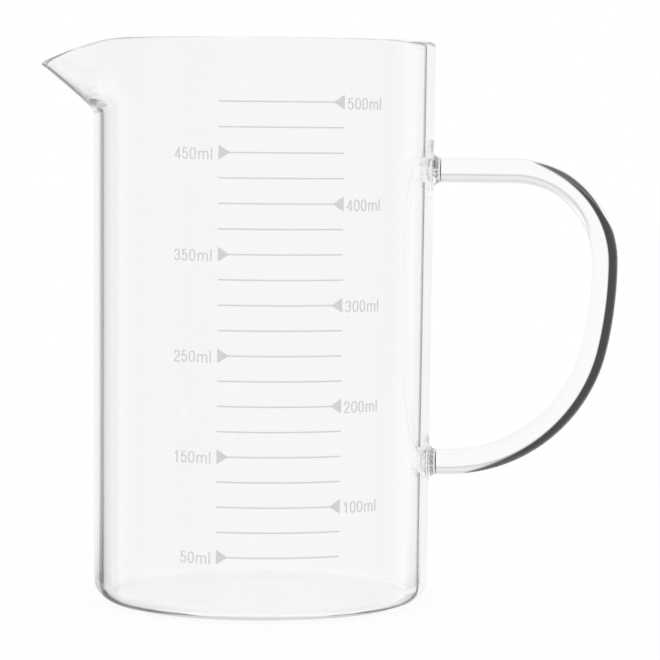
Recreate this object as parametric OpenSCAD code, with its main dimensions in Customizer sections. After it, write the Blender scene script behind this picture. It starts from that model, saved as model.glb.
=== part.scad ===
// Straight-sided glass measuring jug with a pulled spout, a fused rod handle
// and a printed millilitre scale. The origin is the middle of the foot, on the
// jug's axis. +Z is up, the handle is at +X, the spout at -X and the scale is
// on the -Y side.

/* [Body] */
// Outer diameter at the rim
rim_d = 80; // [78:0.5:92]
// How much smaller the outer radius is at the foot than at the rim
draft = 0.6; // [0:0.1:2]
// Height from the foot to the rim
body_h = 131.5; // [128:0.5:160]
// Thickness of the side wall
wall = 2.25; // [1.6:0.05:3]
// Thickness of the floor
floor_t = 1.3; // [1.2:0.05:5]
// Outer radius of the corner at the foot
foot_round = 4.8; // [2.5:0.1:5.5]
// Inner radius of the corner at the floor
floor_round = 3.2; // [2:0.1:8]

/* [Spout] */
// How far below the rim the spout leaves the wall
spout_depth = 17.3; // [13:0.1:22]
// How far the spout stands out from the rim
spout_reach = 12.8; // [8:0.1:16]
// How much thinner the glass is at the tip than at the wall
spout_thinning = 1.2; // [0:0.1:1.4]
// How far the tip lies below the rim
spout_dip = 5.8; // [3:0.1:7]
// Angle from the spout's middle at which its reach has faded to about a third
spout_spread = 18; // [12:0.5:24]
// Angle from the spout's middle at which its dip has faded to about a third
dip_spread = 17; // [10:0.5:24]

/* [Handle] */
// Thickness of the rod
rod_d = 6; // [5:0.1:7.5]
// Clear width between the rim's radius and the rod, for the fingers
finger_gap = 37.5; // [34:0.5:48]
// Height of the upper weld's middle
upper_weld_z = 101.6; // [94:0.2:106]
// Height of the lower weld's middle
lower_weld_z = 32.8; // [28:0.2:38]
// Radius of the rod's upper bend, on its centre line
upper_bend_r = 21.5; // [16:0.5:24]
// Radius of the rod's long side, on its centre line
side_bend_r = 92; // [75:1:130]
// Radius of the rod's lower bend, on its centre line
lower_bend_r = 35; // [28:0.5:37]

/* [Welds] */
// Diameter of a weld where it meets the wall
weld_d = 9.4; // [8.6:0.1:12]
// How far a weld stands out before it is down to the rod's size
weld_len = 1.8; // [1.2:0.1:4]
// Diameter of the swelling inside the wall, behind the upper weld
upper_swelling_d = 11.5; // [8:0.1:13]
// How far the swelling behind the upper weld stands out from the wall
upper_swelling_h = 0.8; // [0.5:0.05:1.6]
// Diameter of the swelling inside the wall, behind the lower weld
lower_swelling_d = 8; // [7:0.1:12]
// How far the swelling behind the lower weld stands out from the wall
lower_swelling_h = 1.8; // [0.5:0.05:2.4]

/* [Scale] */
// Volume at the lowest line, in millilitres
first_ml = 50; // [50:50:100]
// Volume at the highest line, in millilitres
last_ml = 500; // [300:50:500]
// Volume between two lines, in millilitres
step_ml = 25; // [25:25:50]
// Volume between two labels, in millilitres
label_ml = 50; // [50:50:100]
// Length of a line round the wall
line_len = 28.8; // [22:0.2:34]
// Height of a line
line_h = 0.3; // [0.2:0.05:0.6]
// How far round the wall the middle of the lines is from the front
scale_shift = 5; // [-8:0.5:8]
// Thickness of the printed film
film_t = 0.1; // [0.05:0.01:0.2]
// Length of a pointer along its line
pointer_len = 2.4; // [1.6:0.1:3.2]
// Height of a pointer
pointer_h = 3.3; // [2.4:0.1:4.4]
// Height of a figure
figure_h = 2.65; // [2:0.05:3.4]
// Width of a figure
figure_w = 1.5; // [1.2:0.05:2]
// Width of the letter m
m_w = 2.4; // [2:0.05:3]
// Width of a figure's stroke
stroke_w = 0.27; // [0.18:0.01:0.36]
// Space between two figures
figure_gap = 0.4; // [0.3:0.05:0.8]
// Space before each letter of the unit
unit_gap = 0.6; // [0.4:0.05:1]
// Space between the lines and a label on their left
left_gap = 1.5; // [0.8:0.05:2.5]
// Space between the lines and a label on their right
right_gap = 0.85; // [0.6:0.05:2.5]
// How far a label's middle is below its line
label_drop = 0.3; // [0:0.05:0.6]
// How far the print sits above the true levels
scale_lift = 2.3; // [0:0.1:4]

/* [Hidden] */
$fn = 96;

rim_r = rim_d / 2;
foot_r = rim_r - draft;
throat_z = body_h - spout_depth;
lip_r = wall / 2;
rod_r = rod_d / 2;
weld_r = weld_d / 2;

// Directions round the jug in which the wall has its corners. They are
// closest at the spout and widest apart at the handle.
round_steps = 88;
crowding_share = 0.45;
angles = [for (i = [0 : round_steps - 1])
    let (t = 360 * i / round_steps) t - crowding_share * sin(t) * 180 / PI];
corner_steps = 4;
spout_steps = 8;
lip_steps = 4;
// How gently the spout leaves the wall, as a share of its depth
throat_share = 0.1;

// Radius of the plain outer wall at height z
function wall_r(z) = foot_r + draft * z / body_h;
// How strong the spout is in direction a, from 1 in its middle down to 0
function fade(a, spread) = exp(-pow((a > 180 ? a - 360 : a) / spread, 2));
// How far up the spout height z is, from 0 at the throat to 1 at the rim
function rise(z) = max(0, z - throat_z) / spout_depth;
function ramp(u) = u == 0 ? 0 : (1 + throat_share) * u * u / (u + throat_share);
// The point in direction a that radius r and height z of the plain wall are drawn
// out to. The inner side is drawn further than the outer one.
function drawn(r, z, a) =
    let (out = spout_reach + spout_thinning * (wall_r(z) - r) / wall,
         q = r + out * ramp(rise(z)) * fade(a, spout_spread))
    [-q * cos(a), -q * sin(a), z - spout_dip * rise(z) * fade(a, dip_spread)];

// The glass in section, as [radius, height], from the foot's flat over the rim
// to the floor's flat
foot_corner = [for (i = [0 : corner_steps]) let (t = 90 * i / corner_steps)
    [wall_r(foot_round) - foot_round * (1 - sin(t)), foot_round * (1 - cos(t))]];
outer_side = [for (i = [0 : spout_steps])
    let (z = throat_z + (spout_depth - lip_r) * i / spout_steps)
    [wall_r(z), z]];
lip = [for (i = [1 : lip_steps - 1]) let (t = 180 * i / lip_steps)
    [wall_r(body_h - lip_r) - lip_r * (1 - cos(t)), body_h - lip_r * (1 - sin(t))]];
inner_side = [for (i = [spout_steps : -1 : 0]) outer_side[i] - [wall, 0]];
corner_top = floor_t + floor_round;
floor_corner = [for (i = [0 : corner_steps]) let (t = 90 * i / corner_steps)
    [wall_r(corner_top) - wall - floor_round * (1 - cos(t)), corner_top - floor_round * sin(t)]];
section = concat(foot_corner, outer_side, lip, inner_side, floor_corner);

module vessel() {
    n = round_steps;
    last = n * (len(section) - 1);
    points = [for (p = section) for (a = angles) drawn(p[0], p[1], a)];
    sides = [for (k = [0 : n : last - n]) for (i = [0 : n - 1]) let (j = (i + 1) % n)
        [k + i, k + n + i, k + n + j, k + j]];
    foot = [[for (i = [0 : n - 1]) i]];
    floor_top = [[for (i = [n - 1 : -1 : 0]) last + i]];
    color([0.86, 0.92, 0.92, 0.35])
        polyhedron(points = points, faces = concat(sides, foot, floor_top), convexity = 6);
}

// The plain body without spout or hollow, less an inset all round
module plain_body(inset = 0) {
    rotate_extrude()
        polygon([[0, 0], [wall_r(0) - inset, 0], [wall_r(body_h) - inset, body_h], [0, body_h]]);
}

// The rod's middle runs out from the upper weld and bends down. Its long side
// sweeps inwards by side_turn, and the lower bend brings it in to the lower weld.
reach = rim_r + finger_gap + rod_r;
side_turn = asin((upper_weld_z - lower_weld_z - upper_bend_r - lower_bend_r)
    / (side_bend_r - lower_bend_r));
upper_start = wall_r(upper_weld_z) + weld_len;
lower_start = wall_r(lower_weld_z) + weld_len;
upper_bend_x = reach - upper_bend_r;
upper_bend_z = upper_weld_z - upper_bend_r;
side_bend_x = reach - side_bend_r;
lower_bend_x = side_bend_x + (side_bend_r - lower_bend_r) * cos(side_turn);
lower_bend_z = lower_weld_z + lower_bend_r;
// Two bends are fused inside a bead that is hardly thicker than the rod
bead_len = 0.5;
bead_proud = 0.01;

// A stretch of rod of radius r about [x, z]. It starts 'from' degrees above +X
// and turns upwards by 'turn' degrees.
module bent_rod(x, z, r, from, turn) {
    translate([x, 0, z])
        rotate([90, 0, 0])
            rotate([0, 0, from])
                rotate_extrude(angle = turn)
                    translate([r, 0]) circle(r = rod_r);
}

module straight_rod(x, z, len) {
    translate([x, 0, z])
        rotate([0, 90, 0])
            cylinder(r = rod_r, h = len);
}

// A bead at the foot of the stretch of radius r about [x, z], 'turn' degrees below +X
module bead(x, z, r, turn) {
    translate([x, 0, z])
        rotate([0, turn, 0])
            translate([r, 0])
                cylinder(r = rod_r + bead_proud, h = bead_len, center = true);
}

module handle_rod() {
    color([0.8, 0.88, 0.88, 0.45])
        difference() {
            union() {
                straight_rod(upper_start, upper_weld_z, upper_bend_x - upper_start);
                bent_rod(upper_bend_x, upper_bend_z, upper_bend_r, 0, 90);
                bead(upper_bend_x, upper_bend_z, upper_bend_r, 0);
                bent_rod(side_bend_x, upper_bend_z, side_bend_r, -side_turn, side_turn);
                bead(side_bend_x, upper_bend_z, side_bend_r, side_turn);
                bent_rod(lower_bend_x, lower_bend_z, lower_bend_r, -90, 90 - side_turn);
                if (lower_bend_x > lower_start)
                    straight_rod(lower_start, lower_weld_z, lower_bend_x - lower_start);
            }
            // A lower bend that would run on into its weld ends there
            if (lower_bend_x < lower_start)
                translate([0, -rod_d, lower_weld_z - rod_d])
                    cube([lower_start, 2 * rod_d, 2 * rod_d]);
        }
}

// The flare of a weld in section, from the wall to the rod
flare_steps = 8;
flare = [for (i = [0 : flare_steps]) let (t = 90 * i / flare_steps)
    [weld_r - (weld_r - rod_r) * sin(t), weld_len * (1 - cos(t))]];
// Facets of the ball that a swelling is a cap of, which is large
ball_steps = 240;
// Radius of that ball, for a swelling of diameter d and height h
function ball_r(d, h) = (pow(d / 2, 2) + pow(h, 2)) / (2 * h);
// Keeps a swelling off the flats of the wall's inner side
swelling_fit = 0.05;

// A weld at height z has a flare outside the wall and a swelling inside it
module weld(z, swelling_d, swelling_h) {
    r = ball_r(swelling_d, swelling_h);
    color([0.74, 0.86, 0.86, 0.5]) {
        difference() {
            translate([wall_r(z), 0, z])
                rotate([0, 90, 0])
                    rotate_extrude()
                        polygon(concat([[0, -wall], [weld_r, -wall]], flare, [[0, weld_len]]));
            plain_body();
        }
        intersection() {
            translate([wall_r(z) - wall - swelling_h + r, 0, z])
                sphere(r = r, $fn = ball_steps);
            plain_body(wall + swelling_fit);
        }
    }
}

module upper_weld() {
    weld(upper_weld_z, upper_swelling_d, upper_swelling_h);
}

module lower_weld() {
    weld(lower_weld_z, lower_swelling_d, lower_swelling_h);
}

// Edge of a cube that holds one millilitre
ml_edge = 10;
inner_r = wall_r(body_h / 2) - wall;
// What the rounded corner takes from the volume above a square one
corner_loss = (1 - PI / 4) * pow(floor_round, 2) * 2 * PI * (inner_r - floor_round / 4);
// Height at which a volume's line is printed
function line_z(ml) =
    floor_t + (ml * pow(ml_edge, 3) + corner_loss) / (PI * pow(inner_r, 2)) + scale_lift;
// Lowest height, measured down from the rim, that a line may have
top_margin = 11;
volumes = [for (ml = [first_ml : step_ml : last_ml]) if (line_z(ml) < body_h - top_margin) ml];
function labelled(ml) = ml % label_ml == 0;
// Labels change sides from one to the next
function on_right(ml) = ml / label_ml % 2 == 0;

// The angle that a distance round the wall takes
function turned(arc) = arc * 180 / (PI * rim_r);
line_left = scale_shift - line_len / 2;
line_right = scale_shift + line_len / 2;

// Stands flat children of height h, centred on x, against the wall. They are
// 'arc' round from the front and rest on height z.
module on_wall(arc, z, h) {
    rotate([0, 0, turned(arc)])
        translate([0, -wall_r(z + h), z])
            rotate([90, 0, 0])
                linear_extrude(film_t)
                    children();
}

// A labelled line gives way to its pointer
module graduation_lines() {
    color([0.78, 0.78, 0.77])
        for (ml = volumes) {
            from = line_left + (labelled(ml) && !on_right(ml) ? pointer_len : 0);
            to = line_right - (labelled(ml) && on_right(ml) ? pointer_len : 0);
            translate([0, 0, line_z(ml) - line_h / 2])
                rotate([0, 0, turned(from) - 90])
                    rotate_extrude(angle = turned(to - from))
                        translate([wall_r(line_z(ml)), 0])
                            square([film_t, line_h]);
        }
}

// The pointers on one side, each with its narrow end at the end of its line
module pointers(right) {
    color([0.7, 0.7, 0.7])
        for (ml = volumes)
            if (labelled(ml) && on_right(ml) == right)
                on_wall(right ? line_right - pointer_len / 2 : line_left + pointer_len / 2,
                        line_z(ml) - pointer_h / 2, pointer_h)
                    translate([0, pointer_h / 2])
                        mirror([right ? 1 : 0, 0])
                            polygon([[-pointer_len / 2, -pointer_h / 2],
                                     [pointer_len / 2, -line_h / 2],
                                     [pointer_len / 2, line_h / 2],
                                     [-pointer_len / 2, pointer_h / 2]]);
}

module left_pointers() {
    pointers(false);
}

module right_pointers() {
    pointers(true);
}

// Middles of the strokes of the figures 1 to 5 and of the letter m, as shares
// of the width and height that they fill
one_shares = [[[0.12, 0.76], [0.42, 0.84], [0.56, 0.96]], [[0.62, 1.05], [0.62, -0.05]]];
two_shares = [[[0.02, 0.7], [0.12, 0.89], [0.34, 0.99], [0.64, 0.99], [0.88, 0.89],
               [0.96, 0.73], [0.88, 0.56], [0.58, 0.38], [0.22, 0.2], [0.03, 0]],
              [[-0.1, 0], [1.05, 0]]];
three_shares = [[[0.04, 0.76], [0.14, 0.92], [0.36, 1], [0.64, 0.99], [0.87, 0.89],
                 [0.92, 0.74], [0.84, 0.6], [0.62, 0.53], [0.36, 0.53]],
                [[0.6, 0.53], [0.84, 0.46], [0.98, 0.29], [0.9, 0.11], [0.66, 0.01],
                 [0.36, 0], [0.12, 0.08], [0, 0.26]]];
four_shares = [[[0.76, 1.05], [0.76, -0.05]], [[0.74, 0.98], [0.02, 0.28]],
               [[-0.06, 0.25], [1.1, 0.25]]];
five_shares = [[[0.9, 1], [0.18, 1]], [[0.2, 1.04], [0.08, 0.46]],
               [[0.08, 0.5], [0.26, 0.62], [0.54, 0.66], [0.83, 0.58], [0.98, 0.36],
                [0.93, 0.15], [0.7, 0.02], [0.38, 0], [0.12, 0.08], [0, 0.24]]];
arch_shares = [[0, 0.7], [0.06, 0.88], [0.16, 0.98], [0.28, 1], [0.4, 0.97], [0.48, 0.86],
               [0.5, 0.7], [0.5, -0.08]];
m_shares = [[[0, 1.05], [0, -0.08]], arch_shares, [for (p = arch_shares) p + [0.5, 0]]];
figure_shares = [[], one_shares, two_shares, three_shares, four_shares, five_shares];
// Height of the letter m, as a share of a figure's height
low_letter_share = 0.72;
// How square the figure 0 is: an ellipse is at 1
zero_power_share = 0.8;
zero_steps = 20;

function unit(v) = v / norm(v);
function across(v) = [-v[1], v[0]];
// The way across a row of points p at its k-th point, long enough to keep a
// stroke's width round the bend
function across_at(p, k) =
    let (i = max(k, 1), j = min(k, len(p) - 2),
         a = across(unit(p[i] - p[i - 1])), b = across(unit(p[j + 1] - p[j])))
    (a + b) / (1 + a * b);

// A stroke along the row of points p
module stroke(p) {
    n = len(p) - 1;
    polygon([for (k = [0 : n]) p[k] + across_at(p, k) * stroke_w / 2,
             for (k = [n : -1 : 0]) p[k] - across_at(p, k) * stroke_w / 2]);
}

// Strokes that fill width w and height h, centred on x
module strokes(rows, w, h) {
    inside_w = w - stroke_w;
    inside_h = h - stroke_w;
    for (row = rows)
        stroke([for (p = row)
            [(p[0] - 1 / 2) * inside_w, stroke_w / 2 + p[1] * inside_h]]);
}

function signed_power(v) = sign(v) * pow(abs(v), zero_power_share);

module rounded(half_w, half_h) {
    polygon([for (i = [0 : zero_steps - 1]) let (t = 360 * i / zero_steps)
        [half_w * signed_power(cos(t)), half_h * signed_power(sin(t))]]);
}

module figure(n) {
    if (n == 0)
        translate([0, figure_h / 2])
            difference() {
                rounded(figure_w / 2, figure_h / 2);
                rounded(figure_w / 2 - stroke_w, figure_h / 2 - stroke_w);
            }
    else
        strokes(figure_shares[n], figure_w, figure_h);
}

function figures_w(count) = count * (figure_w + figure_gap) - figure_gap;
function label_w(ml) = figures_w(len(str(ml))) + 2 * unit_gap + m_w + stroke_w;

// A volume and its unit, starting at 'arc' round the wall
module label(ml, arc) {
    z = line_z(ml) - label_drop - figure_h / 2;
    digits = [for (c = str(ml)) ord(c) - ord("0")];
    m_arc = arc + figures_w(len(digits)) + unit_gap;
    for (k = [0 : len(digits) - 1])
        on_wall(arc + k * (figure_w + figure_gap) + figure_w / 2, z, figure_h)
            figure(digits[k]);
    on_wall(m_arc + m_w / 2, z, figure_h * low_letter_share)
        strokes(m_shares, m_w, figure_h * low_letter_share);
    on_wall(m_arc + m_w + unit_gap + stroke_w / 2, z, figure_h)
        translate([-stroke_w / 2, 0]) square([stroke_w, figure_h]);
}

module labels(right) {
    color([0.7, 0.7, 0.7])
        for (ml = volumes)
            if (labelled(ml) && on_right(ml) == right)
                label(ml, right ? line_right + right_gap : line_left - left_gap - label_w(ml));
}

module left_labels() {
    labels(false);
}

module right_labels() {
    labels(true);
}

vessel();
handle_rod();
upper_weld();
lower_weld();
graduation_lines();
left_pointers();
right_pointers();
left_labels();
right_labels();
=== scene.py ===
"""Dresses the measuring jug: clear glass, the printed scale and a white studio set."""

import math

import bpy
from mathutils import Matrix, Vector


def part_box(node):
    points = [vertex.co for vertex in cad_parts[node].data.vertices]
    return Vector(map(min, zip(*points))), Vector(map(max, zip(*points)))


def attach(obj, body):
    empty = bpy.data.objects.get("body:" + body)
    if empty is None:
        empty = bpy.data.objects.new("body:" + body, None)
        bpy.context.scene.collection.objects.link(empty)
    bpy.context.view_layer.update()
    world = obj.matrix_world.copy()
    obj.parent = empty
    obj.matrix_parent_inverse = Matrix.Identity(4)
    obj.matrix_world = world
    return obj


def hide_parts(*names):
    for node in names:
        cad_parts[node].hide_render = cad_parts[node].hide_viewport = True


bl_info = {
    "name": "Glass Measuring Jug",
    "version": (1, 0, 0),
    "blender": (4, 5, 0),
    "location": "View3D > Sidebar > Jug",
    "description": "Builds a glass measuring jug with a pulled spout, a rod handle and a printed scale",
    "category": "Object",
}

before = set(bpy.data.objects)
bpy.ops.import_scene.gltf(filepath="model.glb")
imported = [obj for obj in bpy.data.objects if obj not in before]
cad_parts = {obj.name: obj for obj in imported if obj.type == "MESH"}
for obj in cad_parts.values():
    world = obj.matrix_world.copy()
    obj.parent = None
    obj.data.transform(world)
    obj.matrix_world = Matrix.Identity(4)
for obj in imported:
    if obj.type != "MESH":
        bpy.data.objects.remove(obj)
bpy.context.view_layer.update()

# How finely the glass is divided
COLUMNS = 240  # round the jug
WELD_COLUMNS = 12  # columns and rows of the wall that give way to a weld
ROD_POINTS = 4 * WELD_COLUMNS  # round the rod and the welds
CORNER_STEPS = 10  # round the corner at the foot and the one at the floor
LOW_STEPS = 6  # from the foot's corner up to the lower weld
SIDE_STEPS = 10  # between the welds
SPOUT_STEPS = 30  # from the spout's throat up to the lip
LIP_STEPS = 12  # over the lip
GAP_STEPS = 3  # from the edge of a weld's gap in to the weld
WELD_STEPS = 24  # along a weld
BAR_STEPS = 8  # along the rod's straight bar at the upper weld
UPPER_BEND_STEPS = 28
LONG_SIDE_STEPS = 14
LOWER_BEND_STEPS = 36
END_STEPS = 3  # along the rod's straight end at the lower weld
TAPER_STEPS = 30  # from the bar's radius to the rod's
DISC_SHARES = (0.66, 0.33)  # radii of the rings inside a flat disc, as shares of its edge's
RING_START = math.radians(-135)  # where a ring round the rod starts, at a corner of the weld's gap

# Curves of the glass
THROAT_EASE = 0.1  # share of the spout's depth over which it eases out of the wall
SWELLING_FALL = 1.6  # how far a swelling has fallen off at its radius, as a power of e
SWELLING_POWER = 2.4  # how flat a swelling is on top

# Finish of the glass
WAVE_SCALE = 40  # waves to a metre
WAVE_DETAIL = 1
WAVE_STRENGTH = 0.05
WAVE_HEIGHT = 0.0002  # in metres

# Finish of the print
PRINT_NODES = ("graduation_lines", "left_pointers", "right_pointers", "left_labels", "right_labels")
PRINT_ROUGHNESS = 0.5
GRAIN_SCALE = 2500  # grains to a metre
GRAIN_DETAIL = 2
DARK_GRAIN = 0.3  # noise up to which a grain is dark
LIGHT_GRAIN = 0.6  # noise from which it has the full colour
DARK_GRAIN_SHARE = 0.9  # of the print's colour

# The set
TABLE_HALF_WIDTH = 4
TABLE_DROP = 0.0002  # how far the table lies below the foot
TABLE_GLOW = 1
TABLE_SHADOW_SHARE = 0.06
SENSOR_WIDTH = 36  # in millimetres
NEAREST_VIEW = 0.01
GLASS_BOUNCES = 256

# How often light has passed through a surface of glass or been mirrored, each half a count higher
TWO_PASSES = 2.5
NEVER_MIRRORED = 0.5
MIRRORED_THREE_TIMES = 3.5
MIRRORED_FOUR_TIMES = 4.5

# Places of painted shade round the jug. The surroundings are darkened there only for light that the glass
# bent or mirrored, which paints the glass's dark edges, lines and bands. Each has the range of degrees to
# the left of the backdrop's middle, the range of degrees above the horizon, the softness of its upright
# edges in degrees, and its darkness. The level edges all have the same softness.
LEVEL_SOFTNESS = 1.5

# Painted shade for light that a wall of glass turned back inside itself: the dark edges of the glass
PAINTED_EDGE_SHADE = {
    "left_shoulder": ((18.5, 62), (-60, 90), 3, 0.17),
    "left_edge": ((28.5, 62), (-60, 90), 2.5, 0.64),
    "left_corner": ((33.5, 38), (-60, 90), 1.5, 0.3),
    "left_corner_low": ((27, 52), (-24, -8), 2, 0.65),
    "left_low": ((22, 95), (-31, -22), 2, 0.75),
    "left_lowest": ((25, 95), (-48, -31), 2, 0.6),
    "right_corner": ((-38, -33), (-60, 90), 0.6, 0.97),
    "right_side": ((-33, -24), (-60, 90), 1.5, 0.12),
    "right_shoulder": ((-24, -11), (-60, 90), 2, 0.06),
    "right_wall": ((-50, -37), (-60, 90), 2, 0.25),
    "right_low": ((-55, -29.5), (-24, -9), 2, 0.85),
    "right_lowest": ((-55, -31), (-50, -24), 2, 0.65),
    "far_left": ((118, 150), (-22, 90), 3, 0.6),
    "low_front_left": ((2, 18), (-32, -18), 3, 0.5),
    "low_back_right": ((-108, -90), (-24, -11), 3, 0.5),
    "low_back": ((-180, -160), (-24, -11), 3, 0.5),
}

# Painted shade for all bent and mirrored light
PAINTED_ROOM_SHADE = {
    "grey_strip": ((-70, 70), (11, 15), 1, 0.2),
    "ceiling": ((-70, 70), (33, 40), 2, 0.2),
}

# Painted shade and dark reflections for light that was mirrored up to three times
PAINTED_MIRROR_SHADE = {
    "table_end": ((-22, 22), (-9, 9), 3, 0.09),
    "under": ((-35, 35), (-80, -34), 4, 0.3),
    "spout_edge": ((14, 40), (-31, -9), 3, 0.55),
    "room_left": ((68, 220), (-60, 90), 10, 0.38),
    "room_right": ((-220, -68), (-60, 90), 10, 0.38),
}

# Painted shade for light that was bent but not mirrored, as through the rod, whose dark band it paints
PAINTED_STRAIGHT_SHADE = {
    "painted_shade_wall": ((4.5, 85), (-20, 60), 2.5, 0.97),
    "painted_shade_wall_foot": ((4.5, 30), (-48, -20), 2.5, 0.9),
    "grey_ceiling": ((-30, 6), (8, 75), 3, 0.16),
}

# Painted shade for light that was mirrored more than four times, as in the rim and at the spout's foot
PAINTED_TRAPPED_SHADE = {
    "seen_in_rim": ((-110, 95), (-70, -12), 6, 0.6),
    "seen_in_spout": ((14, 95), (-48, -13), 4, 0.8),
}


class JugSizes(bpy.types.PropertyGroup):
    """Sizes of the glass, in metres, as the solids have them"""

    rim_radius: bpy.props.FloatProperty(
        name="Rim Radius",
        description="Outer radius at the rim",
        default=0.04,
        unit="LENGTH",
        precision=4,
    )
    draft: bpy.props.FloatProperty(
        name="Draft",
        description="How much smaller the radius is at the foot",
        default=0.0006,
        unit="LENGTH",
        precision=4,
    )
    height: bpy.props.FloatProperty(
        name="Height",
        description="From the foot to the rim",
        default=round(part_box("vessel")[1].z, 6),
        unit="LENGTH",
        precision=4,
    )
    wall: bpy.props.FloatProperty(
        name="Wall",
        description="Thickness of the side wall",
        default=0.00225,
        unit="LENGTH",
        precision=4,
    )
    floor: bpy.props.FloatProperty(
        name="Floor",
        description="Thickness of the floor",
        default=0.0013,
        unit="LENGTH",
        precision=4,
    )
    foot_round: bpy.props.FloatProperty(
        name="Foot Round",
        description="Outer radius of the corner at the foot",
        default=0.0048,
        unit="LENGTH",
        precision=4,
    )
    floor_round: bpy.props.FloatProperty(
        name="Floor Round",
        description="Inner radius of the corner at the floor",
        default=0.0032,
        unit="LENGTH",
        precision=4,
    )
    spout_depth: bpy.props.FloatProperty(
        name="Spout Depth",
        description="From the rim down to where the spout leaves the wall",
        default=0.0173,
        unit="LENGTH",
        precision=4,
    )
    spout_reach: bpy.props.FloatProperty(
        name="Spout Reach",
        description="How far the spout stands out from the rim",
        default=0.0128,
        unit="LENGTH",
        precision=4,
    )
    spout_thinning: bpy.props.FloatProperty(
        name="Spout Thinning",
        description="How much thinner the glass is at the spout's tip",
        default=0.0012,
        unit="LENGTH",
        precision=4,
    )
    spout_dip: bpy.props.FloatProperty(
        name="Spout Dip",
        description="How far the tip lies below the rim",
        default=0.0058,
        unit="LENGTH",
        precision=4,
    )
    spout_spread: bpy.props.FloatProperty(
        name="Spout Spread",
        description="Angle at which the spout's reach has faded to a third",
        default=math.radians(18),
        subtype="ANGLE",
    )
    dip_spread: bpy.props.FloatProperty(
        name="Dip Spread",
        description="Angle at which the spout's dip has faded to a third",
        default=math.radians(17),
        subtype="ANGLE",
    )
    upper_weld: bpy.props.FloatProperty(
        name="Upper Weld",
        description="Height of the upper weld's middle",
        default=0.1016,
        unit="LENGTH",
        precision=4,
    )
    lower_weld: bpy.props.FloatProperty(
        name="Lower Weld",
        description="Height of the lower weld's middle",
        default=0.0328,
        unit="LENGTH",
        precision=4,
    )
    weld_radius: bpy.props.FloatProperty(
        name="Weld Radius",
        description="Radius of a weld at the wall",
        default=0.0047,
        unit="LENGTH",
        precision=4,
    )
    weld_length: bpy.props.FloatProperty(
        name="Weld Length",
        description="How far a weld stands out from the wall",
        default=0.0018,
        unit="LENGTH",
        precision=4,
    )
    upper_swelling: bpy.props.FloatProperty(
        name="Upper Swelling",
        description="How far the wall swells inwards behind the upper weld",
        default=0.0008,
        unit="LENGTH",
        precision=4,
    )
    upper_swelling_radius: bpy.props.FloatProperty(
        name="Upper Swelling Radius",
        description="Radius of the swelling behind the upper weld",
        default=0.0057,
        unit="LENGTH",
        precision=4,
    )
    lower_swelling: bpy.props.FloatProperty(
        name="Lower Swelling",
        description="How far the wall swells inwards behind the lower weld",
        default=0.0018,
        unit="LENGTH",
        precision=4,
    )
    lower_swelling_radius: bpy.props.FloatProperty(
        name="Lower Swelling Radius",
        description="Radius of the swelling behind the lower weld",
        default=0.004,
        unit="LENGTH",
        precision=4,
    )
    rod_radius: bpy.props.FloatProperty(
        name="Rod Radius",
        description="Radius of the handle's rod along its side",
        default=0.003,
        unit="LENGTH",
        precision=4,
    )
    bar_radius: bpy.props.FloatProperty(
        name="Bar Radius",
        description="Radius of the handle's rod next to the upper weld",
        default=0.0029,
        unit="LENGTH",
        precision=4,
    )
    finger_gap: bpy.props.FloatProperty(
        name="Finger Gap",
        description="Clear width between the rim's radius and the rod",
        default=0.0375,
        unit="LENGTH",
        precision=4,
    )
    upper_bend: bpy.props.FloatProperty(
        name="Upper Bend",
        description="Radius of the rod's upper bend",
        default=0.0215,
        unit="LENGTH",
        precision=4,
    )
    side_bend: bpy.props.FloatProperty(
        name="Side Bend",
        description="Radius of the rod's long side",
        default=0.092,
        unit="LENGTH",
        precision=4,
    )
    lower_bend: bpy.props.FloatProperty(
        name="Lower Bend",
        description="Radius of the rod's lower bend",
        default=0.035,
        unit="LENGTH",
        precision=4,
    )


class JugLooks(bpy.types.PropertyGroup):
    """Colours and finishes of the glass and the print"""

    glass_tint: bpy.props.FloatVectorProperty(
        name="Glass Tint",
        description="Colour of light that has passed through the glass",
        subtype="COLOR",
        size=3,
        min=0,
        max=1,
        default=(0.988, 0.988, 0.986),
    )
    glass_ior: bpy.props.FloatProperty(
        name="Glass IOR",
        description="How strongly the glass bends light",
        default=1.47,
        min=1,
        max=2,
    )
    print_colour: bpy.props.FloatVectorProperty(
        name="Print Colour",
        description="Colour of the fired-on print",
        subtype="COLOR",
        size=3,
        min=0,
        max=1,
        default=(0.7, 0.7, 0.69),
    )


class JugSet(bpy.types.PropertyGroup):
    """The camera and the light on the set"""

    camera_place: bpy.props.FloatVectorProperty(
        name="Camera Place",
        description="Where the camera stands",
        subtype="TRANSLATION",
        size=3,
        default=(0.01587, -0.72, 0.11593),
    )
    camera_pitch: bpy.props.FloatProperty(
        name="Camera Pitch",
        description="How far the camera looks down",
        default=math.radians(4.15),
        subtype="ANGLE",
    )
    camera_roll: bpy.props.FloatProperty(
        name="Camera Roll",
        description="How far the camera leans to its left",
        default=math.radians(0.585),
        subtype="ANGLE",
    )
    lens: bpy.props.FloatProperty(
        name="Lens",
        description="Focal length in millimetres on a 36 mm sensor",
        default=167.0,
    )
    backdrop: bpy.props.FloatVectorProperty(
        name="Backdrop",
        description="Colour of the backdrop",
        subtype="COLOR",
        size=3,
        min=0,
        max=1,
        default=(1, 1, 1),
    )


def finish_shape(name, points, faces, stands_for):
    """Makes a smooth glass piece that rides on the jug and stands for its solid."""
    shape = bpy.data.meshes.new(name)
    shape.from_pydata(points, [], faces)
    shape.polygons.foreach_set("use_smooth", [True] * len(faces))
    shape.update()
    piece = bpy.data.objects.new(name, shape)
    bpy.context.scene.collection.objects.link(piece)
    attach(piece, "root")
    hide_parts(stands_for)
    return piece


def blank_material(name):
    """Returns a new material, its node tree and its Principled BSDF."""
    material = bpy.data.materials.new(name)
    material.use_nodes = True
    return material, material.node_tree, material.node_tree.nodes["Principled BSDF"]


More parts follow.
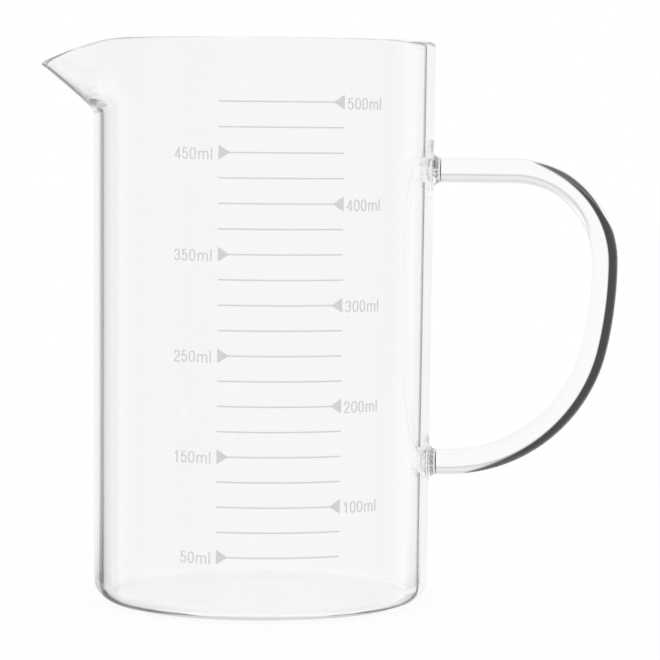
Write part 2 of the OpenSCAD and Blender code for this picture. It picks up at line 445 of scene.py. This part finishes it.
def glass_material(name):
    """Clear glass with the faint waves that drawn and fire-polished glass has."""
    looks = bpy.context.scene.jug_looks
    material, tree, shader = blank_material(name)
    shader.inputs["Base Color"].default_value = (*looks.glass_tint, 1)
    shader.inputs["Roughness"].default_value = 0
    shader.inputs["IOR"].default_value = looks.glass_ior
    shader.inputs["Transmission Weight"].default_value = 1
    coords = tree.nodes.new("ShaderNodeTexCoord")
    waves = tree.nodes.new("ShaderNodeTexNoise")
    waves.inputs["Scale"].default_value = WAVE_SCALE
    waves.inputs["Detail"].default_value = WAVE_DETAIL
    bump = tree.nodes.new("ShaderNodeBump")
    bump.inputs["Strength"].default_value = WAVE_STRENGTH
    bump.inputs["Distance"].default_value = WAVE_HEIGHT
    tree.links.new(coords.outputs["Object"], waves.inputs["Vector"])
    tree.links.new(waves.outputs["Fac"], bump.inputs["Height"])
    tree.links.new(bump.outputs["Normal"], shader.inputs["Normal"])
    return material


def smooth_step(u):
    """Eases from 0 to 1 as u goes from 0 to 1."""
    u = min(max(u, 0), 1)
    return u * u * (3 - 2 * u)


def bridge(faces, rings):
    """Joins rings of the same number of points with quads."""
    for low, high in zip(rings, rings[1:]):
        for i in range(len(low)):
            j = (i + 1) % len(low)
            faces.append((low[i], low[j], high[j], high[i]))


def wall_radius(sizes, z):
    """Radius of the plain outer wall at height z."""
    return sizes.rim_radius - sizes.draft + sizes.draft * z / sizes.height


def drawn_out(sizes, r, z, angle):
    """Where the spout takes a point of the plain wall. The angle is counted from the handle."""
    off = math.pi - abs(math.atan2(math.sin(angle), math.cos(angle)))
    rise = max(0, z - sizes.height + sizes.spout_depth) / sizes.spout_depth
    ramp = (1 + THROAT_EASE) * rise * rise / (rise + THROAT_EASE)
    inside = (wall_radius(sizes, z) - r) / sizes.wall
    reach = sizes.spout_reach + sizes.spout_thinning * inside
    r += reach * ramp * math.exp(-((off / sizes.spout_spread) ** 2))
    z -= sizes.spout_dip * rise * math.exp(-((off / sizes.dip_spread) ** 2))
    return Vector((r * math.cos(angle), r * math.sin(angle), z))


def weld_heights(sizes):
    """Heights of the wall's rows behind the lower weld, then of those behind the upper one."""
    half = sizes.rim_radius * math.sin(math.pi * WELD_COLUMNS / COLUMNS)
    for middle in (sizes.lower_weld, sizes.upper_weld):
        yield [middle - half + 2 * half * i / WELD_COLUMNS for i in range(WELD_COLUMNS + 1)]


def side_heights(sizes):
    """Heights of the side wall's rows, close together at the welds and the spout."""
    lower, upper = weld_heights(sizes)
    throat = sizes.height - sizes.spout_depth
    lip = sizes.height - sizes.wall / 2
    between = [lower[-1] + (upper[0] - lower[-1]) * i / SIDE_STEPS for i in range(1, SIDE_STEPS)]
    below = [sizes.foot_round + (lower[0] - sizes.foot_round) * i / LOW_STEPS for i in range(1, LOW_STEPS)]
    spout = [throat + (lip - throat) * i / SPOUT_STEPS for i in range(SPOUT_STEPS + 1)]
    return below + lower + between + upper + [(upper[-1] + throat) / 2] + spout


def weld_ring(sizes, middle, radius, out=0, share=0):
    """Points round a weld's axis: on the wall where share is 0, and on the plane 'out' where it is 1."""
    ring = []
    for i in range(ROD_POINTS):
        turn = RING_START + math.tau * i / ROD_POINTS
        y, z = radius * math.cos(turn), middle + radius * math.sin(turn)
        on_wall = math.sqrt(wall_radius(sizes, z) ** 2 - y * y)
        ring.append(Vector((on_wall + (out - on_wall) * share, y, z)))
    return ring


def fill_gap(sizes, middle, around, points, faces):
    """Fills the wall from the edge of a weld's gap in to the ring where the weld starts."""
    ring = weld_ring(sizes, middle, sizes.weld_radius)
    layers = [around]
    for step in range(1, GAP_STEPS + 1):
        layer = []
        for corner, to in zip(around, ring):
            y = points[corner].y + (to.y - points[corner].y) * step / GAP_STEPS
            z = points[corner].z + (to.z - points[corner].z) * step / GAP_STEPS
            points.append(Vector((math.sqrt(wall_radius(sizes, z) ** 2 - y * y), y, z)))
            layer.append(len(points) - 1)
        layers.append(layer)
    bridge(faces, layers)


def outer_rows(sizes):
    """Radius and height of each row from the foot's flat up the side and over the lip."""
    rows = []
    for i in range(CORNER_STEPS + 1):
        turn = math.radians(90 / CORNER_STEPS * i)
        radius = wall_radius(sizes, sizes.foot_round) - sizes.foot_round * (1 - math.sin(turn))
        rows.append((radius, sizes.foot_round * (1 - math.cos(turn))))
    rows += [(wall_radius(sizes, z), z) for z in side_heights(sizes)]
    lip = sizes.wall / 2
    lip_z = sizes.height - lip
    for i in range(1, LIP_STEPS + 1):
        turn = math.radians(180 / LIP_STEPS * i)
        rows.append((wall_radius(sizes, lip_z) - lip * (1 - math.cos(turn)), lip_z + lip * math.sin(turn)))
    return rows


def outer_wall(sizes, points, faces):
    """Adds the foot, the side and the lip, and returns the first points of the lowest and the last row."""
    rows = outer_rows(sizes)
    first = len(points)
    for r, z in rows:
        for c in range(COLUMNS):
            points.append(drawn_out(sizes, r, z, math.tau * c / COLUMNS))
    heights = side_heights(sizes)
    gaps = [CORNER_STEPS + 1 + heights.index(behind[0]) for behind in weld_heights(sizes)]
    half = WELD_COLUMNS // 2

    def at(row, column):
        return first + row * COLUMNS + column % COLUMNS

    for row in range(len(rows) - 1):
        gap = any(g <= row < g + WELD_COLUMNS for g in gaps)
        for c in range(-half, COLUMNS - half):
            if not (gap and c < half):
                faces.append((at(row, c), at(row, c + 1), at(row + 1, c + 1), at(row + 1, c)))
    for g, middle in zip(gaps, (sizes.lower_weld, sizes.upper_weld)):
        around = [at(g, c) for c in range(-half, half)]
        around += [at(g + i, half) for i in range(WELD_COLUMNS)]
        around += [at(g + WELD_COLUMNS, c) for c in range(half, -half, -1)]
        around += [at(g + i, -half) for i in range(WELD_COLUMNS, 0, -1)]
        fill_gap(sizes, middle, around, points, faces)
    return first, at(len(rows) - 1, 0)


def inner_rows(sizes):
    """Radius and height of each row from below the lip down the inner side to the floor."""
    corner = sizes.floor + sizes.floor_round
    side = [z for z in reversed(side_heights(sizes)[:-1]) if z > corner]
    rows = [(wall_radius(sizes, z) - sizes.wall, z) for z in side]
    for i in range(CORNER_STEPS + 1):
        turn = math.radians(90 / CORNER_STEPS * i)
        radius = wall_radius(sizes, corner) - sizes.wall - sizes.floor_round * (1 - math.cos(turn))
        rows.append((radius, corner - sizes.floor_round * math.sin(turn)))
    return rows


def inner_wall(sizes, points, faces, top):
    """Adds the inner side from the lip down to the floor, with a swelling behind each weld."""
    swellings = (
        (sizes.lower_weld, sizes.lower_swelling, sizes.lower_swelling_radius),
        (sizes.upper_weld, sizes.upper_swelling, sizes.upper_swelling_radius),
    )
    above = [top + c for c in range(COLUMNS)]
    for r, z in inner_rows(sizes):
        row = []
        for c in range(COLUMNS):
            point = drawn_out(sizes, r, z, math.tau * c / COLUMNS)
            if point.x > 0:
                for middle, height, radius in swellings:
                    away = math.hypot(point.y, z - middle) / radius
                    point.x -= height * math.exp(-SWELLING_FALL * away**SWELLING_POWER)
            points.append(point)
            row.append(len(points) - 1)
        bridge(faces, [above, row])
        above = row
    return above


def disc(points, faces, edge, z, facing_up):
    """Closes a ring with a flat disc of rings and a middle point."""
    rings = [edge]
    for share in DISC_SHARES:
        ring = []
        for i in edge:
            points.append(Vector((points[i].x * share, points[i].y * share, z)))
            ring.append(len(points) - 1)
        rings.append(ring)
    bridge(faces, rings if facing_up else [ring[::-1] for ring in rings])
    points.append(Vector((0, 0, z)))
    middle = len(points) - 1
    last = rings[-1]
    for i in range(len(last)):
        pair = (last[i], last[(i + 1) % len(last)])
        faces.append((*pair, middle) if facing_up else (*pair[::-1], middle))


class JUG_OT_vessel(bpy.types.Operator):
    """Builds the glass vessel with its foot, rolled rim and pulled spout"""

    bl_idname = "jug.vessel"
    bl_label = "Add Vessel"

    def execute(self, context):
        sizes = context.scene.jug_sizes
        points, faces = [], []
        foot, top = outer_wall(sizes, points, faces)
        floor_edge = inner_wall(sizes, points, faces, top)
        disc(points, faces, [foot + c for c in range(COLUMNS)], 0, False)
        disc(points, faces, floor_edge, sizes.floor, True)
        vessel = finish_shape("vessel_glass", points, faces, "vessel")
        vessel.data.materials.append(glass_material("vessel_glass"))
        return {"FINISHED"}


def flare_radius(sizes, rod, share):
    """Radius of a weld at a share of its length."""
    return rod + (sizes.weld_radius - rod) * (1 - math.sqrt(1 - (1 - share) ** 2))


class JUG_OT_welds(bpy.types.Operator):
    """Builds the two welds that fuse the handle to the wall"""

    bl_idname = "jug.welds"
    bl_label = "Add Welds"

    def execute(self, context):
        sizes = context.scene.jug_sizes
        glass = glass_material("weld_glass")
        for name, middle, rod in (
            ("upper_weld", sizes.upper_weld, sizes.bar_radius),
            ("lower_weld", sizes.lower_weld, sizes.rod_radius),
        ):
            points, faces, rings = [], [], []
            out = wall_radius(sizes, middle) + sizes.weld_length
            for i in range(WELD_STEPS + 1):
                share = 1 - math.cos(math.pi / 2 * i / WELD_STEPS)
                ring = weld_ring(sizes, middle, flare_radius(sizes, rod, share), out, share)
                rings.append(range(len(points), len(points) + ROD_POINTS))
                points += ring
            bridge(faces, rings)
            piece = finish_shape(name + "_glass", points, faces, name)
            piece.data.materials.append(glass)
        return {"FINISHED"}


def rod_path(sizes):
    """Places along the handle's middle, each with its direction, from the upper weld to the lower."""
    start_x = wall_radius(sizes, sizes.upper_weld) + sizes.weld_length
    end_x = wall_radius(sizes, sizes.lower_weld) + sizes.weld_length
    reach = sizes.rim_radius + sizes.finger_gap + sizes.rod_radius
    turn = math.asin(
        (sizes.upper_weld - sizes.lower_weld - sizes.upper_bend - sizes.lower_bend)
        / (sizes.side_bend - sizes.lower_bend)
    )
    upper = Vector((reach - sizes.upper_bend, sizes.upper_weld - sizes.upper_bend))
    side = Vector((reach - sizes.side_bend, upper.y))
    lower_x = side.x + (sizes.side_bend - sizes.lower_bend) * math.cos(turn)
    lower = Vector((lower_x, sizes.lower_weld + sizes.lower_bend))
    path = []

    def straight(from_x, to_x, z, heading, steps, first):
        for i in range(first, steps + 1):
            path.append((Vector((from_x + (to_x - from_x) * i / steps, z)), Vector((heading, 0))))

    def bend(middle, radius, first, last, steps):
        for i in range(steps + 1):
            if i or not path:
                a = first + (last - first) * i / steps
                along = Vector((math.cos(a), math.sin(a)))
                path.append((middle + along * radius, Vector((along.y, -along.x))))

    straight(start_x, upper.x, sizes.upper_weld, 1, BAR_STEPS, 0)
    bend(upper, sizes.upper_bend, math.pi / 2, 0, UPPER_BEND_STEPS)
    bend(side, sizes.side_bend, 0, -turn, LONG_SIDE_STEPS)
    bend(lower, sizes.lower_bend, -turn, -math.pi / 2, LOWER_BEND_STEPS)
    straight(lower.x, end_x, sizes.lower_weld, -1, END_STEPS, 1)
    return path


class JUG_OT_handle(bpy.types.Operator):
    """Builds the bent glass rod of the handle"""

    bl_idname = "jug.handle"
    bl_label = "Add Handle"

    def execute(self, context):
        sizes = context.scene.jug_sizes
        points, faces, rings = [], [], []
        for k, (place, heading) in enumerate(rod_path(sizes)):
            grown = smooth_step(k / TAPER_STEPS)
            radius = sizes.bar_radius + (sizes.rod_radius - sizes.bar_radius) * grown
            up = Vector((-heading.y, heading.x))
            rings.append(range(len(points), len(points) + ROD_POINTS))
            for i in range(ROD_POINTS):
                turn = RING_START + math.tau * i / ROD_POINTS
                off = up * radius * math.sin(turn)
                points.append(Vector((place.x + off.x, radius * math.cos(turn), place.y + off.y)))
        bridge(faces, rings)
        piece = finish_shape("handle_glass", points, faces, "handle_rod")
        piece.data.materials.append(glass_material("handle_glass"))
        return {"FINISHED"}


class JUG_OT_scale_print(bpy.types.Operator):
    """Gives the printed lines, pointers and labels their fired-on enamel"""

    bl_idname = "jug.scale_print"
    bl_label = "Finish Printed Scale"

    def execute(self, context):
        colour = context.scene.jug_looks.print_colour
        material, tree, shader = blank_material("enamel_print")
        coords = tree.nodes.new("ShaderNodeTexCoord")
        grain = tree.nodes.new("ShaderNodeTexNoise")
        grain.inputs["Scale"].default_value = GRAIN_SCALE
        grain.inputs["Detail"].default_value = GRAIN_DETAIL
        shades = tree.nodes.new("ShaderNodeValToRGB")
        dark, light = shades.color_ramp.elements
        dark.position = DARK_GRAIN
        dark.color = (*[c * DARK_GRAIN_SHARE for c in colour], 1)
        light.position = LIGHT_GRAIN
        light.color = (*colour, 1)
        tree.links.new(coords.outputs["Object"], grain.inputs["Vector"])
        tree.links.new(grain.outputs["Fac"], shades.inputs["Fac"])
        tree.links.new(shades.outputs["Color"], shader.inputs["Base Color"])
        shader.inputs["Roughness"].default_value = PRINT_ROUGHNESS
        for name in PRINT_NODES:
            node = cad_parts[name]
            if not node.material_slots:
                node.data.materials.append(material)
            for kept in node.material_slots:
                kept.material = material
        return {"FINISHED"}


class SkyNodes:
    """Small helpers for the node tree of the surroundings."""

    def __init__(self, tree):
        self.tree = tree

    def maths(self, operation, *values):
        """Adds a Math node for sockets or plain numbers, and returns its result."""
        node = self.tree.nodes.new("ShaderNodeMath")
        node.operation = operation
        for socket, value in zip(node.inputs, values):
            if isinstance(value, bpy.types.NodeSocket):
                self.tree.links.new(value, socket)
            else:
                socket.default_value = value
        return node.outputs[0]

    def step(self, value, start, end):
        """0 before start and 1 past end, with a soft change between them."""
        node = self.tree.nodes.new("ShaderNodeMapRange")
        node.interpolation_type = "SMOOTHSTEP"
        self.tree.links.new(value, node.inputs["Value"])
        node.inputs["From Min"].default_value = start
        node.inputs["From Max"].default_value = end
        return node.outputs["Result"]

    def band(self, value, low, high, soft):
        """1 between low and high, and 0 outside them."""
        rise = self.step(value, low - soft, low + soft)
        fall = self.step(value, high - soft, high + soft)
        return self.maths("SUBTRACT", rise, fall)


def darkened(sky, light, left, above, places, seen):
    """Dims the light in each of the places, for the rays that 'seen' marks with 1, which paints shade into
    what the glass shows.
    """
    for across, up, soft, darkness in places.values():
        columns = sky.band(left, *across, soft)
        place = sky.maths("MULTIPLY", columns, sky.band(above, *up, LEVEL_SOFTNESS))
        lost = sky.maths("MULTIPLY", sky.maths("MULTIPLY", place, seen), darkness)
        light = sky.maths("MULTIPLY", light, sky.maths("SUBTRACT", 1.0, lost))
    return light


def build_surroundings(scene):
    """White for the camera. For what the glass bends and mirrors, a backdrop with places of painted shade,
    picked out by how often the light passed through or was mirrored in glass.
    """
    world = bpy.data.worlds.new("studio")
    world.use_nodes = True
    scene.world = world
    tree = world.node_tree
    tree.nodes.clear()
    sky = SkyNodes(tree)
    coords = tree.nodes.new("ShaderNodeTexCoord")
    parts = tree.nodes.new("ShaderNodeSeparateXYZ")
    tree.links.new(coords.outputs["Generated"], parts.inputs["Vector"])
    x, y, z = parts.outputs
    left = sky.maths("DEGREES", sky.maths("ARCTAN2", sky.maths("MULTIPLY", x, -1.0), y))
    above = sky.maths("DEGREES", sky.maths("ARCSINE", z))
    rays = tree.nodes.new("ShaderNodeLightPath")
    times = rays.outputs["Glossy Depth"]

    # The camera and matt surfaces see plain white, and only bent or mirrored light sees the places of
    # painted shade
    plain = sky.maths("MAXIMUM", rays.outputs["Is Camera Ray"], rays.outputs["Is Diffuse Ray"])
    bent = sky.maths("SUBTRACT", 1.0, plain)
    # In and out of one piece of glass
    once = sky.maths("LESS_THAN", rays.outputs["Transmission Depth"], TWO_PASSES)
    some = sky.maths("GREATER_THAN", times, NEVER_MIRRORED)
    few = sky.maths("LESS_THAN", times, MIRRORED_THREE_TIMES)
    mirrored = sky.maths("MULTIPLY", bent, sky.maths("MULTIPLY", some, few))
    # Light that a wall of glass turned back inside itself gets the painted dark edges
    turned = sky.maths("MULTIPLY", mirrored, rays.outputs["Is Transmission Ray"])
    edges = sky.maths("MULTIPLY", once, turned)
    # Light that only bent on its way through one piece of glass, such as the rod, which gets a painted
    # dark band
    never = sky.maths("LESS_THAN", times, NEVER_MIRRORED)
    straight = sky.maths("MULTIPLY", sky.maths("MULTIPLY", bent, once), never)
    # Light that was mirrored many times, as in the rim and at the spout's foot, which gets painted shade
    often = sky.maths("GREATER_THAN", times, MIRRORED_FOUR_TIMES)
    trapped = sky.maths("MULTIPLY", bent, often)

    # Darkens the surroundings place by place: painted shade in what the glass shows
    light = 1.0
    for places, seen in (
        (PAINTED_EDGE_SHADE, edges),
        (PAINTED_ROOM_SHADE, bent),
        (PAINTED_MIRROR_SHADE, mirrored),
        (PAINTED_STRAIGHT_SHADE, straight),
        (PAINTED_TRAPPED_SHADE, trapped),
    ):
        light = darkened(sky, light, left, above, places, seen)

    background = tree.nodes.new("ShaderNodeBackground")
    background.inputs["Color"].default_value = (*scene.jug_set.backdrop, 1)
    tree.links.new(light, background.inputs["Strength"])
    out = tree.nodes.new("ShaderNodeOutputWorld")
    tree.links.new(background.outputs["Background"], out.inputs["Surface"])


def plain_sheet(name, corners):
    """Makes a flat sheet of the set, which is no part of the jug."""
    shape = bpy.data.meshes.new(name)
    shape.from_pydata(corners, [], [tuple(range(len(corners)))])
    sheet = bpy.data.objects.new(name, shape)
    bpy.context.scene.collection.objects.link(sheet)
    return sheet


def glowing(name, strength, diffuse_share):
    """A surface of its own brightness, with a share that shows shadows."""
    material = bpy.data.materials.new(name)
    material.use_nodes = True
    tree = material.node_tree
    tree.nodes.clear()
    glow = tree.nodes.new("ShaderNodeEmission")
    glow.inputs["Strength"].default_value = strength
    matt = tree.nodes.new("ShaderNodeBsdfDiffuse")
    matt.inputs["Color"].default_value = (1, 1, 1, 1)
    mix = tree.nodes.new("ShaderNodeMixShader")
    mix.inputs["Fac"].default_value = diffuse_share
    out = tree.nodes.new("ShaderNodeOutputMaterial")
    tree.links.new(glow.outputs["Emission"], mix.inputs[1])
    tree.links.new(matt.outputs["BSDF"], mix.inputs[2])
    tree.links.new(mix.outputs["Shader"], out.inputs["Surface"])
    return material


def lay_table():
    """Lays the white table under the jug, which only the camera sees."""
    corners = [
        (side * TABLE_HALF_WIDTH, end * TABLE_HALF_WIDTH, -TABLE_DROP)
        for side, end in ((-1, -1), (1, -1), (1, 1), (-1, 1))
    ]
    table = plain_sheet("floor", corners)
    table.data.materials.append(glowing("white_table", TABLE_GLOW, TABLE_SHADOW_SHARE))
    table.visible_glossy = False
    table.visible_transmission = False
    table.visible_diffuse = False


def place_camera(scene):
    """Stands the camera where the photograph was taken from."""
    jug_set = scene.jug_set
    camera = bpy.data.objects.new("camera", bpy.data.cameras.new("camera"))
    scene.collection.objects.link(camera)
    camera.data.lens = jug_set.lens
    camera.data.sensor_width = SENSOR_WIDTH
    camera.data.clip_start = NEAREST_VIEW
    pitch = Matrix.Rotation(math.pi / 2 - jug_set.camera_pitch, 4, "X")
    roll = Matrix.Rotation(jug_set.camera_roll, 4, "Z")
    camera.matrix_world = Matrix.Translation(Vector(jug_set.camera_place)) @ (pitch @ roll)
    scene.camera = camera


class JUG_OT_stage(bpy.types.Operator):
    """Sets up the surroundings, the floor and the camera"""

    bl_idname = "jug.stage"
    bl_label = "Set Stage"

    def execute(self, context):
        scene = context.scene
        scene.view_settings.view_transform = "Standard"
        scene.cycles.max_bounces = GLASS_BOUNCES
        scene.cycles.transmission_bounces = GLASS_BOUNCES
        scene.cycles.glossy_bounces = GLASS_BOUNCES
        build_surroundings(scene)
        lay_table()
        place_camera(scene)
        return {"FINISHED"}


class JUG_PT_build(bpy.types.Panel):
    """Lists the jug's sizes, looks and building steps"""

    bl_idname = "JUG_PT_build"
    bl_label = "Measuring Jug"
    bl_space_type = "VIEW_3D"
    bl_region_type = "UI"
    bl_category = "Jug"

    def draw(self, context):
        for group in (context.scene.jug_sizes, context.scene.jug_looks, context.scene.jug_set):
            box = self.layout.box()
            for name in group.__annotations__:
                box.prop(group, name)
        for step in STEPS:
            self.layout.operator(step.bl_idname)


STEPS = (JUG_OT_vessel, JUG_OT_welds, JUG_OT_handle, JUG_OT_scale_print, JUG_OT_stage)
GROUPS = {"jug_sizes": JugSizes, "jug_looks": JugLooks, "jug_set": JugSet}


def register():
    for cls in (*GROUPS.values(), *STEPS, JUG_PT_build):
        bpy.utils.register_class(cls)
    for name, group in GROUPS.items():
        setattr(bpy.types.Scene, name, bpy.props.PointerProperty(type=group))


def unregister():
    for name in GROUPS:
        delattr(bpy.types.Scene, name)
    for cls in reversed((*GROUPS.values(), *STEPS, JUG_PT_build)):
        bpy.utils.unregister_class(cls)


def main():
    """Builds the jug and its set."""
    register()
    bpy.ops.jug.vessel()
    bpy.ops.jug.welds()
    bpy.ops.jug.handle()
    bpy.ops.jug.scale_print()
    bpy.ops.jug.stage()


if __name__ == "__main__":
    main()
